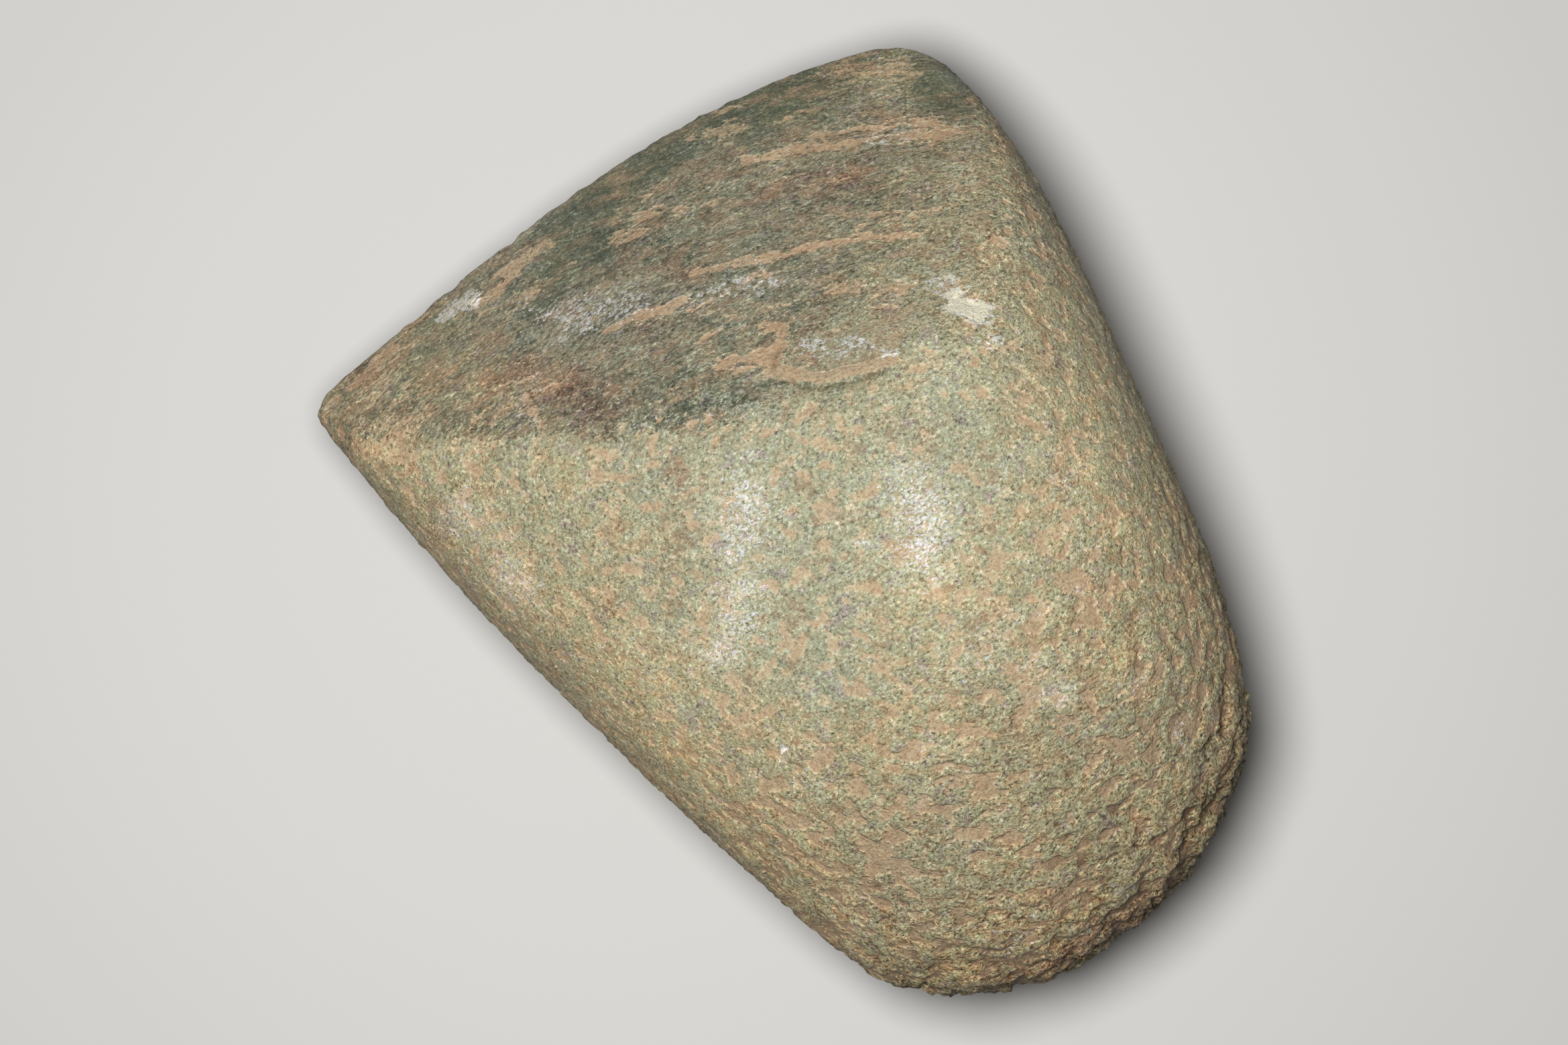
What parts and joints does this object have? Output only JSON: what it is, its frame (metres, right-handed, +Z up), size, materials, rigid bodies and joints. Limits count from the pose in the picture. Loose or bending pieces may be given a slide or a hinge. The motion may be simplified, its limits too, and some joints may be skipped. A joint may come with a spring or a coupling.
{
  "type": "polished stone axe head",
  "caption": "Thick stone axe head with a rounded butt, a pecked body and two ground bevels that meet in a curved, blunted cutting edge; it lies on one broad face.",
  "frame": {"origin": "under the middle of the stone's bounding box, on the surface that it lies on", "axes": "+X from the butt to the cutting edge, +Y across the width, +Z up through the thickness"},
  "size_m": [0.105, 0.0822, 0.059],
  "materials": {
    "stone": "pale greenish-tan granular stone, pecked on the body and ground on the darker bevels, with ochre sediment in its low places"
  },
  "bodies": {
    "root": {"axe_head": "stone"}
  },
  "joints": []
}
